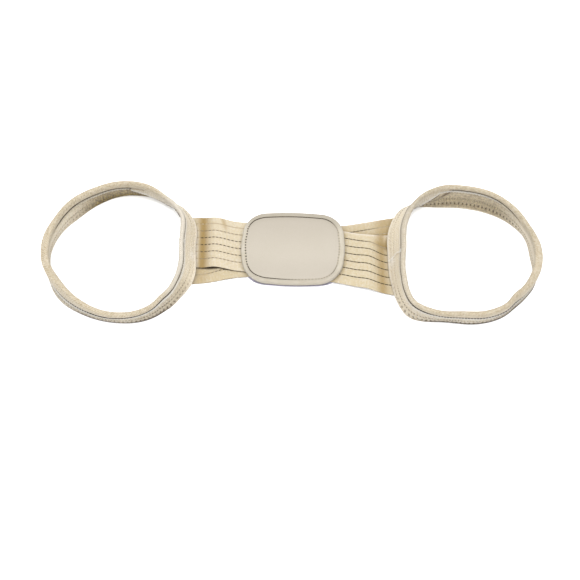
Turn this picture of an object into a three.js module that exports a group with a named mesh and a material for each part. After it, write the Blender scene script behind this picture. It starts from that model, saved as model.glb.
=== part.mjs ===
// Posture corrector: a padded back plate, two crossed elastic straps and two knitted arm loops.
// It lies on a surface with its outer side up, the arm loops standing on their lower edges.
// Millimetres, +Z up. The origin is the middle of the back pad, on the surface; +X runs along the
// straps to the right arm loop and +Y across the pad to its upper edge.

import * as THREE from "three";

// Clearance between pieces that are sewn together.
const GAP = 0.3;

// Back pad: a rounded rectangle, with a binding folded round the panel's edge.
const PAD_LENGTH = 106;
const PAD_HEIGHT = 83.5;
const PAD_CORNER = 29;
const PAD_BULGE = 1.2;
const PAD_TURN_DEG = -1.5;
const PAD_CORNER_STEPS = 7;
const PAD_SIDE_STEPS = 4;
const BACKING_THICKNESS = 1.2;
const BACKING_INSET = 0.4;
const BACKING_FLAT_INSET = 5;
const BACKING_EDGE_RISE = 3;
const BACKING_RISE_FROM = 36;
const PAD_BINDING_WALL = 1.2;
const PAD_BINDING_LEG = 5.6;
const PANEL_RIM = 3;
const PANEL_CROWN = 1.8;
const PANEL_CROWN_CORNER = 4;
const PANEL_SHOULDER = 0.75;

// Elastic straps: ribbed webbing, with sewn grooves along its outer face.
const STRAP_WIDTH = 60;
const STRAP_THICKNESS = 1.6;
const STRAP_STEPS = 30;
const GROOVE_COUNT = 6;
const GROOVE_PITCH = 8.4;
const GROOVE_FIRST = 7.8;
const GROOVE_WIDTH = 1.2;
const GROOVE_DEPTH = 0.45;

// Arm loops: a knitted web whose upper edge is a thin tongue inside a folded binding.
const BAND_HEIGHT = 30;
const WEB_THICKNESS = 4;
const WEB_BULGE = 0.4;
const WEB_SHOULDER = 22.5;
const TONGUE_THICKNESS = 1.6;
const TONGUE_TOP = 27.4;
const BINDING_THICKNESS = 5.4;
const LOOP_STEPS = 48;
const ARC_STEPS = 3;
const JOIN_HALF_SPAN_DEG = 36;
const JOIN_RAMP_DEG = 14;

// Heights of the layers over the surface: backing, back strap, front strap, then the padded panel.
const BACK_STRAP_Z = BACKING_THICKNESS + GAP;
const FRONT_STRAP_Z = BACK_STRAP_Z + STRAP_THICKNESS + GAP;
const PANEL_Z = FRONT_STRAP_Z + STRAP_THICKNESS + GAP;
const BACK_STRAP_END_Z = GAP;
const FRONT_STRAP_END_Z = BACK_STRAP_END_Z + STRAP_THICKNESS + GAP;
const JOIN_LIFT = FRONT_STRAP_END_Z + STRAP_THICKNESS + GAP;

// A strap's rows run along X, one for each crest, trough or level: where its upper (+Y) and lower (-Y)
// edges lie across the strap, and the height of the underside at each edge.
const FRONT_STRAP_ROWS = [
  { x: -109, upper_y: 40, upper_z: FRONT_STRAP_END_Z, lower_y: -20, lower_z: FRONT_STRAP_END_Z },
  { x: -96, upper_y: 38.5, upper_z: FRONT_STRAP_END_Z, lower_y: -20.5, lower_z: FRONT_STRAP_END_Z },
  { x: -80, upper_y: 36.5, upper_z: 8.5, lower_y: -22.5, lower_z: 8 },
  { x: -58, upper_y: 34, upper_z: FRONT_STRAP_Z, lower_y: -25, lower_z: FRONT_STRAP_Z },
  { x: 58, upper_y: 21.5, upper_z: FRONT_STRAP_Z, lower_y: -42, lower_z: FRONT_STRAP_Z },
  { x: 80, upper_y: 16.5, upper_z: 6.5, lower_y: -47.5, lower_z: 3 },
  { x: 97, upper_y: 18, upper_z: FRONT_STRAP_END_Z, lower_y: -51, lower_z: FRONT_STRAP_END_Z },
  { x: 109, upper_y: 19, upper_z: FRONT_STRAP_END_Z, lower_y: -53, lower_z: FRONT_STRAP_END_Z },
];
const BACK_STRAP_ROWS = [
  { x: -109, upper_y: 21, upper_z: BACK_STRAP_END_Z, lower_y: -39, lower_z: BACK_STRAP_END_Z },
  { x: -97, upper_y: 22, upper_z: BACK_STRAP_END_Z, lower_y: -38.5, lower_z: BACK_STRAP_END_Z },
  { x: -57, upper_y: 28, upper_z: BACK_STRAP_Z, lower_y: -32, lower_z: BACK_STRAP_Z },
  { x: 57, upper_y: 31, upper_z: BACK_STRAP_Z, lower_y: -29, lower_z: BACK_STRAP_Z },
  { x: 97, upper_y: 39, upper_z: BACK_STRAP_END_Z, lower_y: -21, lower_z: BACK_STRAP_END_Z },
  { x: 109, upper_y: 41, upper_z: BACK_STRAP_END_Z, lower_y: -19, lower_z: BACK_STRAP_END_Z },
];

// An arm loop's rows go round anticlockwise at equal bearings from +X: radius is the lower edge's
// distance from the loop's centre, lean_deg how far the band's top tips outwards, and cup_deg how much
// further out the band's top tips than its lower edge.
const LEFT_LOOP = {
  centre: { x: -183.5, y: -2.3 },
  join_bearing_deg: 0,
  rows: [
    { radius: 82, lean_deg: -28, cup_deg: 40 },
    { radius: 86, lean_deg: -24, cup_deg: 40 },
    { radius: 82, lean_deg: -18, cup_deg: 37 },
    { radius: 77, lean_deg: -7, cup_deg: 40 },
    { radius: 72, lean_deg: -2, cup_deg: 42 },
    { radius: 66, lean_deg: 5, cup_deg: 40 },
    { radius: 63, lean_deg: 13, cup_deg: 30 },
    { radius: 67, lean_deg: 4, cup_deg: 25 },
    { radius: 71.5, lean_deg: 1, cup_deg: 21 },
    { radius: 74, lean_deg: 1, cup_deg: 20 },
    { radius: 77.5, lean_deg: -9, cup_deg: 20 },
    { radius: 77, lean_deg: 4, cup_deg: 20 },
    { radius: 79.5, lean_deg: 13, cup_deg: 20 },
    { radius: 84, lean_deg: 10, cup_deg: 24 },
    { radius: 85.5, lean_deg: -3, cup_deg: 29 },
    { radius: 87, lean_deg: -26, cup_deg: 38 },
  ],
};
const RIGHT_LOOP = {
  centre: { x: 182.5, y: -8.3 },
  join_bearing_deg: 180,
  rows: [
    { radius: 67, lean_deg: 6, cup_deg: 20 },
    { radius: 67.5, lean_deg: -4, cup_deg: 16 },
    { radius: 64, lean_deg: 4, cup_deg: 0 },
    { radius: 61.5, lean_deg: 15, cup_deg: -10 },
    { radius: 62.5, lean_deg: 18, cup_deg: -12 },
    { radius: 69, lean_deg: 16, cup_deg: 0 },
    { radius: 85.5, lean_deg: -23, cup_deg: 20 },
    { radius: 87, lean_deg: -35, cup_deg: 24 },
    { radius: 82, lean_deg: -30, cup_deg: 24 },
    { radius: 86, lean_deg: -19, cup_deg: 24 },
    { radius: 93.5, lean_deg: -8, cup_deg: 20 },
    { radius: 79.5, lean_deg: 14, cup_deg: 14 },
    { radius: 76, lean_deg: 10, cup_deg: 15 },
    { radius: 74.5, lean_deg: 6, cup_deg: 20 },
    { radius: 72, lean_deg: 1, cup_deg: 19 },
    { radius: 72.5, lean_deg: -1, cup_deg: 19 },
  ],
};

const KNIT = { color: 0xe1d4bc, roughness: 0.95, metalness: 0 };
const ROLLED_TAPE = { color: 0xe4d8c2, roughness: 0.95, metalness: 0 };
const ELASTIC = { color: 0xe4d3ae, roughness: 0.9, metalness: 0 };
const LEATHER = { color: 0xdbd3c4, roughness: 0.55, metalness: 0 };
const FOLDED_TAPE = { color: 0xd9d0be, roughness: 0.7, metalness: 0 };
const BACKING_CLOTH = { color: 0xe6e3ea, roughness: 0.9, metalness: 0 };

// Points closer than this are one point.
const SAME_POINT = 1e-6;

const radians = THREE.MathUtils.degToRad;

// Skin over rings of equal point counts: each ring joins the next, each quad split at its shorter
// diagonal. The ends are capped with the flat outline, or the last ring joins the first.
function loft(rings, { outline, closed }) {
  const count = rings[0].length;
  const points = rings.flat();
  const triangles = [];
  const spans = closed ? rings.length : rings.length - 1;
  for (let i = 0; i < spans; i++) {
    const near = i * count;
    const far = ((i + 1) % rings.length) * count;
    for (let j = 0; j < count; j++) {
      const k = (j + 1) % count;
      const [a, b, c, d] = [near + j, near + k, far + k, far + j];
      const splitAtA = points[a].distanceTo(points[c]) < points[b].distanceTo(points[d]);
      triangles.push(...(splitAtA ? [a, b, c, a, c, d] : [a, b, d, b, c, d]));
    }
  }
  if (!closed) {
    const last = (rings.length - 1) * count;
    for (const [a, b, c] of THREE.ShapeUtils.triangulateShape(outline, [])) {
      triangles.push(c, b, a, last + a, last + b, last + c);
    }
  }
  const geometry = new THREE.BufferGeometry();
  geometry.setFromPoints(points);
  geometry.setIndex(triangles);
  geometry.computeVertexNormals();
  return geometry;
}

// A flat section's points, each one once.
function sectionPoints(shape) {
  const points = shape.getPoints(ARC_STEPS);
  return points.filter((p, i) => p.distanceTo(points.at(i - 1)) > SAME_POINT);
}

// Arm loops

// One station of a band: the middle of its rounded lower edge, the level way out of the loop, and the
// band's lean and cup in radians. The lower edge leaves room for the straps at the join.
function loopStation(loop, curve, turn) {
  const ahead = pointOnRim(loop, curve, turn + 0.5 / LOOP_STEPS);
  const behind = pointOnRim(loop, curve, turn - 0.5 / LOOP_STEPS);
  const along = ahead.sub(behind).normalize();
  const edge = pointOnRim(loop, curve, turn);
  edge.z = joinLift(loop, turn * 2 * Math.PI) + WEB_THICKNESS / 2;
  const row = curve.getPoint(turn);
  const outward = new THREE.Vector3(along.y, -along.x, 0);
  return { edge, outward, lean: radians(row.y), cup: radians(row.z) };
}

// Places a band's section, whose x runs through the band to the loop's middle and y up its height:
// the cup changes the lean from the lower edge to the top.
function placeBandSection(section, { edge, outward, lean, cup }) {
  return section.map((p) => {
    const height = p.y - WEB_THICKNESS / 2;
    const low = lean - cup / 2;
    const here = low + cup * (height / BAND_HEIGHT);
    const rise = (low + here) / 2;
    const out = height * Math.sin(rise) - p.x * Math.cos(here);
    const point = edge.clone().addScaledVector(outward, out);
    point.z += height * Math.cos(rise) + p.x * Math.sin(here);
    return point;
  });
}

// The lower edge's place in plan, for a share of a turn round the loop.
function pointOnRim(loop, curve, turn) {
  const share = THREE.MathUtils.euclideanModulo(turn, 1);
  const radius = curve.getPoint(share).x;
  const bearing = share * 2 * Math.PI;
  return new THREE.Vector3(
    loop.centre.x + radius * Math.cos(bearing),
    loop.centre.y + radius * Math.sin(bearing),
    0,
  );
}

// The band rises over the strap ends where it is sewn to them.
function joinLift(loop, bearing) {
  const away = THREE.MathUtils.euclideanModulo(bearing - radians(loop.join_bearing_deg), 2 * Math.PI);
  const off = THREE.MathUtils.radToDeg(Math.min(away, 2 * Math.PI - away));
  const past = THREE.MathUtils.smoothstep(off, JOIN_HALF_SPAN_DEG, JOIN_HALF_SPAN_DEG + JOIN_RAMP_DEG);
  return JOIN_LIFT * (1 - past);
}

function loopStations(loop) {
  const values = loop.rows.map((row) => new THREE.Vector3(row.radius, row.lean_deg, row.cup_deg));
  const curve = new THREE.CatmullRomCurve3(values, true, "catmullrom", 0.5);
  return Array.from({ length: LOOP_STEPS }, (_, i) => loopStation(loop, curve, i / LOOP_STEPS));
}

// Knitted web: a rounded lower edge, softly bulging faces and the tongue inside the binding.
function webSection() {
  const half = WEB_THICKNESS / 2;
  const tongue = TONGUE_THICKNESS / 2;
  const shape = new THREE.Shape();
  shape.moveTo(tongue, TONGUE_TOP);
  shape.lineTo(-tongue, TONGUE_TOP);
  shape.lineTo(-tongue, WEB_SHOULDER);
  shape.lineTo(-half, WEB_SHOULDER);
  shape.lineTo(-half - WEB_BULGE, WEB_SHOULDER / 2);
  shape.lineTo(-half, half);
  shape.absarc(0, half, half, Math.PI, 2 * Math.PI, false);
  shape.lineTo(half + WEB_BULGE, WEB_SHOULDER / 2);
  shape.lineTo(half, WEB_SHOULDER);
  shape.lineTo(tongue, WEB_SHOULDER);
  return sectionPoints(shape);
}

// Folded binding: a round-topped channel over the tongue.
function bindingSection() {
  const half = BINDING_THICKNESS / 2;
  const slot = TONGUE_THICKNESS / 2 + GAP;
  const bottom = WEB_SHOULDER + GAP;
  const shape = new THREE.Shape();
  shape.moveTo(slot, bottom);
  shape.lineTo(half, bottom);
  shape.lineTo(half, BAND_HEIGHT - half);
  shape.absarc(0, BAND_HEIGHT - half, half, 0, Math.PI, false);
  shape.lineTo(-half, bottom);
  shape.lineTo(-slot, bottom);
  shape.lineTo(-slot, TONGUE_TOP + GAP);
  shape.lineTo(slot, TONGUE_TOP + GAP);
  return sectionPoints(shape);
}

function loopPiece(loop, section) {
  const rings = loopStations(loop).map((station) => placeBandSection(section, station));
  return loft(rings, { closed: true });
}

// Elastic straps

// A strap's two edges at x: heights level or turning at each row, eased between them.
function strapEdges(rows, x) {
  const last = rows.length - 2;
  const i = Math.min(last, Math.max(0, rows.findIndex((row) => row.x > x) - 1));
  const from = rows[i];
  const to = rows[i + 1];
  const share = (x - from.x) / (to.x - from.x);
  const eased = THREE.MathUtils.smoothstep(share, 0, 1);
  const between = (column, amount) => THREE.MathUtils.lerp(from[column], to[column], amount);
  return {
    upper: new THREE.Vector3(x, between("upper_y", share), between("upper_z", eased)),
    lower: new THREE.Vector3(x, between("lower_y", share), between("lower_z", eased)),
  };
}

// Ribbed section, seen with the strap running away: x across the strap and y through its thickness.
function strapSection() {
  const half = STRAP_WIDTH / 2;
  const points = [new THREE.Vector2(half, 0), new THREE.Vector2(half, STRAP_THICKNESS)];
  for (let i = 0; i < GROOVE_COUNT; i++) {
    const middle = half - GROOVE_FIRST - i * GROOVE_PITCH;
    points.push(new THREE.Vector2(middle + GROOVE_WIDTH / 2, STRAP_THICKNESS));
    points.push(new THREE.Vector2(middle, STRAP_THICKNESS - GROOVE_DEPTH));
    points.push(new THREE.Vector2(middle - GROOVE_WIDTH / 2, STRAP_THICKNESS));
  }
  points.push(new THREE.Vector2(-half, STRAP_THICKNESS), new THREE.Vector2(-half, 0));
  return points;
}

// The sections are cut across X, so that both edges of a strap meet the arm loop together.
function strap(rows) {
  const section = strapSection();
  const start = rows[0].x;
  const length = rows[rows.length - 1].x - start;
  const rings = Array.from({ length: STRAP_STEPS + 1 }, (_, i) => {
    const { upper, lower } = strapEdges(rows, start + (length * i) / STRAP_STEPS);
    return section.map((p) => {
      const point = lower.clone().lerp(upper, p.x / STRAP_WIDTH + 0.5);
      return point.setZ(point.z + p.y);
    });
  });
  return loft(rings, { outline: section, closed: false });
}

// Back pad

// Points of the pad's outline, drawn in from its edge, with sides that bow out a little.
function padOutline(inset) {
  const corner = PAD_CORNER - inset;
  const straightX = PAD_LENGTH / 2 - PAD_CORNER;
  const straightY = PAD_HEIGHT / 2 - PAD_CORNER;
  const points = [];
  for (let quarter = 0; quarter < 4; quarter++) {
    const signX = quarter === 0 || quarter === 3 ? 1 : -1;
    const signY = quarter < 2 ? 1 : -1;
    for (let i = 0; i <= PAD_CORNER_STEPS; i++) {
      const angle = ((quarter + i / PAD_CORNER_STEPS) * Math.PI) / 2;
      points.push(
        new THREE.Vector2(
          signX * straightX + corner * Math.cos(angle),
          signY * straightY + corner * Math.sin(angle),
        ),
      );
    }
    const next = (quarter + 1) % 4;
    const alongX = quarter % 2 === 0;
    const from = points[points.length - 1];
    const to = alongX ? new THREE.Vector2(-from.x, from.y) : new THREE.Vector2(from.x, -from.y);
    const out = new THREE.Vector2(Math.cos((next * Math.PI) / 2), Math.sin((next * Math.PI) / 2));
    for (let i = 1; i < PAD_SIDE_STEPS; i++) {
      const share = i / PAD_SIDE_STEPS;
      const bow = PAD_BULGE * 4 * share * (1 - share);
      points.push(from.clone().lerp(to, share).addScaledVector(out, bow));
    }
  }
  return points;
}

function padRing(inset, height) {
  return padOutline(inset).map((p) => new THREE.Vector3(p.x, p.y, height));
}

// Padded panel: a thin rim inside the binding, a flat underside and a low crown.
function padPanel() {
  const rimBottom = PANEL_Z + PAD_BINDING_WALL + GAP;
  const rimTop = rimBottom + PANEL_RIM;
  const front = rimTop + PAD_BINDING_WALL;
  const rimInset = PAD_BINDING_WALL + GAP;
  const frontInset = PAD_BINDING_LEG + GAP;
  const crownInset = PAD_CORNER - PANEL_CROWN_CORNER;
  const rings = [
    padRing(frontInset, PANEL_Z),
    padRing(frontInset, rimBottom),
    padRing(rimInset, rimBottom),
    padRing(rimInset, rimTop),
    padRing(frontInset, rimTop),
    padRing(frontInset, front),
    padRing((frontInset + crownInset) / 2, front + PANEL_CROWN * PANEL_SHOULDER),
    padRing(crownInset, front + PANEL_CROWN),
  ];
  return loft(rings, { outline: padOutline(crownInset), closed: false });
}

// Folded binding: a channel that holds the panel's rim, open towards the middle of the pad.
function padBinding() {
  const bottom = PANEL_Z;
  const top = bottom + 2 * (PAD_BINDING_WALL + GAP) + PANEL_RIM;
  const round = PAD_BINDING_WALL;
  const profile = [
    { inset: PAD_BINDING_LEG, z: bottom },
    { inset: round, z: bottom },
    { inset: 0, z: bottom + round },
    { inset: 0, z: top - round },
    { inset: round, z: top },
    { inset: PAD_BINDING_LEG, z: top },
    { inset: PAD_BINDING_LEG, z: top - PAD_BINDING_WALL },
    { inset: PAD_BINDING_WALL, z: top - PAD_BINDING_WALL },
    { inset: PAD_BINDING_WALL, z: bottom + PAD_BINDING_WALL },
    { inset: PAD_BINDING_LEG, z: bottom + PAD_BINDING_WALL },
  ];
  const rings = profile.map((p) => padRing(p.inset, p.z));
  return loft(rings, { closed: true });
}

// Backing cloth: flat on the surface under the straps, rising to the binding at the long edges.
function padBacking() {
  const rise = (y) => THREE.MathUtils.smoothstep(Math.abs(y), BACKING_RISE_FROM, PAD_HEIGHT / 2);
  const edge = (height) =>
    padRing(BACKING_INSET, height).map((p) => p.setZ(height + BACKING_EDGE_RISE * rise(p.y)));
  const rings = [
    padRing(BACKING_FLAT_INSET, 0),
    edge(0),
    edge(BACKING_THICKNESS),
    padRing(BACKING_FLAT_INSET, BACKING_THICKNESS),
  ];
  return loft(rings, { outline: padOutline(BACKING_FLAT_INSET), closed: false });
}

// Assembly

function piece(name, geometry, look) {
  const mesh = new THREE.Mesh(geometry, new THREE.MeshStandardMaterial(look));
  mesh.name = name;
  return mesh;
}

const pad = new THREE.Group();
pad.rotation.z = radians(PAD_TURN_DEG);
pad.add(
  piece("pad_panel", padPanel(), LEATHER),
  piece("pad_binding", padBinding(), FOLDED_TAPE),
  piece("pad_backing", padBacking(), BACKING_CLOTH),
);

const straps = new THREE.Group();
straps.add(
  piece("strap_front", strap(FRONT_STRAP_ROWS), ELASTIC),
  piece("strap_back", strap(BACK_STRAP_ROWS), ELASTIC),
);

const loops = new THREE.Group();
for (const [side, loop] of Object.entries({ left: LEFT_LOOP, right: RIGHT_LOOP })) {
  loops.add(
    piece(`${side}_loop_band`, loopPiece(loop, webSection()), KNIT),
    piece(`${side}_loop_binding`, loopPiece(loop, bindingSection()), ROLLED_TAPE),
  );
}

const postureCorrector = new THREE.Group();
postureCorrector.name = "posture_corrector";
postureCorrector.add(pad, straps, loops);

export default postureCorrector;
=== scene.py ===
import math
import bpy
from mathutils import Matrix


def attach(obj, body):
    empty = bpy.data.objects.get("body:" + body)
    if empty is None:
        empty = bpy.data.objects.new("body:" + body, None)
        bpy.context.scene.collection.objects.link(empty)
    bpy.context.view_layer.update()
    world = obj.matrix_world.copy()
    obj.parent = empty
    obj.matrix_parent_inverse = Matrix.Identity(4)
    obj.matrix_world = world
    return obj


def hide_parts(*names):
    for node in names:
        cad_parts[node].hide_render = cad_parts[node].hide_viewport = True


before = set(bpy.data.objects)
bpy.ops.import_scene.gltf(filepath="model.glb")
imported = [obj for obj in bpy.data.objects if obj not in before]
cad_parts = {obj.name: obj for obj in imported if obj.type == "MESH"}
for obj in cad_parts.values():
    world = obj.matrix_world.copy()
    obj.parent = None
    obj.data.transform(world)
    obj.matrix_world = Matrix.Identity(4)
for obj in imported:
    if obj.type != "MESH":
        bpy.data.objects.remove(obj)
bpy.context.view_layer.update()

from types import SimpleNamespace

import bpy
import numpy as np
from mathutils import Vector

# Posture corrector: a leather-faced back pad, two crossed elastic straps and two knitted arm loops.
# Shapes are worked out in millimetres, in the frame's own axes, and turned into metres in build_piece.
MM = 0.001

# Back pad: a rounded rectangle whose sides bulge, with a folded tape round its edge.
PAD_LENGTH = 106
PAD_HEIGHT = 83.5
PAD_CORNERS = (26, 26, 29, 29)
PAD_BULGE = 1.2
PAD_TURN_DEG = -1.5
PAD_SHIFT_Y = -0.8
PAD_SPOKES = 300
PAD_STITCH_INSET = 5.85
PAD_STITCH_PITCH = 3.5
PAD_SCALED_FROM = 14
PANEL_UNDERSIDE = 5.4
PANEL_SHOULDER = 11.95
PANEL_CROWN = 12.8
LEATHER_CLOSED = 11.35
TAPE_CLOSED = 11.4
PAD_STITCH_HEIGHT = 11.45
PAD_STITCH_SINK = 0.75
BACKING_THICKNESS = 1.2
BACKING_RISE_FROM = 36
BACKING_EDGE_RISE = 3

# Elastic straps: rows along X with both edges' places and the underside's heights.
STRAP_WIDTH = 60
STRAP_THICKNESS = 1.6
STRAP_HALF_LENGTH = 109
STRAP_STEP = 0.9
STRAP_RIB = 0.45
STRAP_STITCH_FROM = 107.5
STRAP_STITCH_PITCH = 4.0
LINE_COUNT = 6
LEFT_LINE_FADES = (0.85, 0.4, 0.0, 0.0, 0.1, 0.45)
FRONT_LEVEL = 3.4
FRONT_END = 2.2
BACK_LEVEL = 1.5
BACK_END = 0.3
STRAP_COLUMNS = ("x", "upper_y", "upper_z", "lower_y", "lower_z")
FRONT_ROWS = (
    (-109, 40, FRONT_END, -20, FRONT_END),
    (-96, 39.8, FRONT_END, -20.5, FRONT_END),
    (-80, 36.5, 8.5, -22.5, 8),
    (-58, 34, FRONT_LEVEL, -25, FRONT_LEVEL),
    (58, 21.5, FRONT_LEVEL, -42, FRONT_LEVEL),
    (80, 16.5, 6.5, -47.5, 3),
    (97, 18, FRONT_END, -51, FRONT_END),
    (109, 19, FRONT_END, -53, FRONT_END),
)
BACK_ROWS = (
    (-109, 21, BACK_END, -39, BACK_END),
    (-97, 22, BACK_END, -38.5, BACK_END),
    (-57, 28, BACK_LEVEL, -32, BACK_LEVEL),
    (57, 31, BACK_LEVEL, -29, BACK_LEVEL),
    (97, 39, BACK_END, -21, BACK_END),
    (109, 41, BACK_END, -19, BACK_END),
)

# Arm loops: rows at equal bearings from +X, anticlockwise, each with a radius, a lean and a cup in degrees.
# Windows hold two bearings, then how much: pale has the least and the most, and inside_shade (painted shade)
# also its fade.
# outer_line has the outer thread line's height at each row, and inner_lift the inner line's rise.
# lap_deg has the bearings where the tape's lap starts and is lowest, and lap_line_deg counts from its start.
# notch_shade, painted shade at a fold by the lap, has degrees past the lap's start, slant, reach, height and
# half height.
# foot_in has a bearing, a reach and how far the lower edge draws in.
# tucks have a bearing, a reach, and the degrees and millimetres by which the band leans and draws in.
INNER, OUTER = 1, -1
BAND_HEIGHT = 30
WEB_THICKNESS = 4
FRAME_STEPS = 48
LENGTH_SAMPLES = 721
JOIN_LIFT = 4.1
JOIN_HALF_SPAN_DEG = 36
JOIN_RAMP_DEG = 14
LEFT_LOOP = SimpleNamespace(
    centre=(-183.5, -2.3),
    join_deg=0,
    rows=(
        (82, -28, 40), (86, -24, 40), (82, -18, 37), (77, -7, 40),
        (72, -2, 42), (66, 5, 40), (63, 13, 30), (67, 4, 25),
        (71.5, 1, 21), (74, 1, 20), (77.5, -9, 20), (77, 4, 20),
        (79.5, 13, 20), (84, 10, 24), (85.5, -3, 29), (87, -26, 38),
    ),
    outer_line=(25.3, 25.3, 24, 22.1, 22.1, 22.1, 22.1, 21, 18, 14, 13, 13.5, 17.5, 23, 25, 25.3),
    inner_lift=(70, 90, 0.0), thin=0.3,
    lap_deg=(82, 42), lap_step=2.2, lap_line_deg=12,
    notch_shade=(-1.4, 0.0, 1.8, 20.5, 2.4),
    foot_in=(0, 26, 3.0), foot_top=5.0,
    tucks=((308, 7, 3.2, 0.7),),
    solid_deg=(258, 330), warm_deg=(150, 195), full_deg=(178, 208),
    tack_deg=0, seam_deg=None, patch_deg=354,
    pale={INNER: (80, 108, 0.15, 0.6), OUTER: (190, 300, 0.7, 1.0)},
    line_fade={INNER: (180, 300, 1.0), OUTER: (185, 228, 0.5)},
    inside_shade=(62, 104, 1.2, 60), brown=(292, 322, 0.36), pits=0.35,
    near_shade=0.08, join_shade=0.0, join_pale=0.48,
)
RIGHT_LOOP = SimpleNamespace(
    centre=(182.5, -8.3),
    join_deg=180,
    rows=(
        (67, 6, 20), (67.5, -4, 16), (64, 4, 0), (61.5, 15, -10),
        (62.5, 18, -12), (69, 16, 0), (85.5, -23, 20), (87, -35, 24),
        (82, -30, 24), (86, -19, 24), (93.5, -8, 20), (79.5, 14, 14),
        (76, 10, 15), (74.5, 6, 20), (72, 1, 19), (72.5, -1, 19),
    ),
    outer_line=(14, 18, 21, 22.1, 22.1, 22.1, 23, 24.5, 24.2, 25, 24.8, 21.5, 19, 15, 13, 13),
    inner_lift=(58, 100, 2.4), thin=0.1,
    lap_deg=(112.5, 134), lap_step=0.6, lap_line_deg=-9,
    notch_shade=(-8.7, 1.65, 2.0, 17.8, 3.2),
    foot_in=(158, 14, 2.0), foot_top=7.0,
    tucks=((259, 13, 4.2, 0.9), (306, 7, 3.5, 0.7)),
    solid_deg=(195, 236), warm_deg=(345, 385), full_deg=(336, 352),
    tack_deg=183.5, seam_deg=184, patch_deg=187,
    pale={INNER: (74, 104, 0.2, 0.95), OUTER: (245, 330, 0.4, 1.0)},
    line_fade={INNER: (-60, 26, 1.0), OUTER: (320, 380, 0.8)},
    inside_shade=(62, 140, 0.82, 50), brown=(212, 246, 0.15), pits=0.78,
    near_shade=0.1, join_shade=0.07, join_pale=0.2,
)

# Knitted web: heights up the band, from the lower edge.
WEB_STATIONS = 650
LADDER_COUNT = 108
LADDER_HEIGHT = 6.9
OUTER_LADDER_DROP = 2.0
LADDER_REACH = 1.15
LADDER_DEPTH = 0.9
ROW_HEIGHT = 12.4
ROW_REACH = 0.6
SEAM_SWAY = 1.6
SEAM_PITCH = 3.2
NO_SEAM = 99.0
WEB_PINCH_FROM = 19.6
WEB_PINCH_TO = 21.2
WEB_PINCH = 0.7
TONGUE_FROM = 22.6
TONGUE_TOP = 26.6
TONGUE_HALF = 0.8
EDGING_HEIGHT = 20.3

# Rolled binding: its legs' lower edges, and the thread lines that hold them.
BINDING_STATIONS = 780
BINDING_HALF = 2.75
BINDING_SKIN = 1.7
LAP_DEPTH = 17
LAP_FADE_DEG = (44, 58)
TAPE_RIB_PITCH = 2.4
LEG_EDGE = 21.4
INNER_LINE = 22.9
OUTER_LINE = 22.1
THREAD_PITCH = 3.0
HIDDEN_FADE = 0.9
ZIGZAG_DEG = 38
ROW_STITCH = (1.8, 0.75, 0.55)
TACK_STITCH = (3.4, 0.55, 0.6)
SEAM_STITCH = (1.5, 0.6, 0.4)

# Camera: a square picture, seen from this many degrees above the floor.
CAMERA_RISE_DEG = 62
CAMERA_DISTANCE = 1300
CAMERA_MM_PER_PIXEL = 1.05
CAMERA_AIM_PIXELS = (-3.0, -38.15)
IMAGE_PIXELS = 580
SENSOR_WIDTH = 36

# Stage: lit a little over, so that the floor stays white, and the cloth's colours come down to suit.
TONE = 0.497
FLOOR_HALF = 3000
FLOOR_SPOTS = 13
LIGHTS = (
    ("top_light", (0, 0.1, 1.9), 2.4, 83.5),
    ("front_light", (-0.2, -1.7, 1.3), 1.8, 25.6),
)
WORLD_STRENGTH = 0.956


# Numbers and curves

def ease(value, start=0.0, end=1.0):
    """Smooth step from 0 at start to 1 at end."""
    share = np.clip((np.asarray(value, float) - start) / (end - start), 0, 1)
    return share * share * (3 - 2 * share)


def bell(value, middle, reach):
    """A smooth hump, 1 at the middle."""
    return np.exp(-(((np.asarray(value, float) - middle) / reach) ** 2))


def running(steps):
    """The length up to each point, from the steps between them."""
    return np.concatenate([[0], np.cumsum(steps)])


def wander(value, pitch, seed):
    """A slow, even unevenness from -1 to 1, different for each seed."""
    total = np.zeros_like(value)
    for k, share in enumerate((0.5, 0.3, 0.2)):
        turn = 2 * math.pi * value / (pitch / (1 + 0.73 * k))
        total = total + share * np.sin(turn + seed * (1.7 + k) + k)
    return total


def closed_curve(rows, turn):
    """Values on a closed smooth curve through rows at equal steps of a turn."""
    rows = np.asarray(rows, float)
    count = len(rows)
    at = np.mod(turn, 1.0) * count
    index = np.floor(at).astype(int)
    t = (at - index)[..., None]
    a, b, c, d = (rows[(index + k) % count] for k in (-1, 0, 1, 2))
    return b + 0.5 * t * ((c - a) + t * ((2 * a - 5 * b + 4 * c - d) + t * (3 * (b - c) + d - a)))


def open_curve(xs, values, at):
    """Values on a smooth curve through points at increasing xs."""
    slopes = np.gradient(values, xs)
    index = np.clip(np.searchsorted(xs, at, side="right") - 1, 0, len(xs) - 2)
    width = xs[index + 1] - xs[index]
    t = (at - xs[index]) / width
    start = (1 + 2 * t) * (1 - t) ** 2 * values[index] + t * (1 - t) ** 2 * width * slopes[index]
    end = t * t * (3 - 2 * t) * values[index + 1] + t * t * (t - 1) * width * slopes[index + 1]
    return start + end


# Meshes

def build_piece(name, points, faces, material, weave=None, masks=None):
    """A smooth mesh object from points in millimetres, with cloth coordinates and masks."""
    mesh = bpy.data.meshes.new(name)
    mesh.from_pydata((np.asarray(points) * MM).tolist(), [], faces)
    mesh.polygons.foreach_set("use_smooth", np.ones(len(mesh.polygons), bool))
    if weave is not None:
        layer = mesh.uv_layers.new(name="weave")
        layer.data.foreach_set("uv", np.asarray(weave, np.float32).ravel() * MM)
    for mask, values in (masks or {}).items():
        attribute = mesh.attributes.new(mask, "FLOAT", "POINT")
        attribute.data.foreach_set("value", np.asarray(values, np.float32).ravel())
    mesh.materials.append(material)
    mesh.validate()
    mesh.update()
    piece = bpy.data.objects.new(name, mesh)
    bpy.context.scene.collection.objects.link(piece)
    return piece


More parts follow.
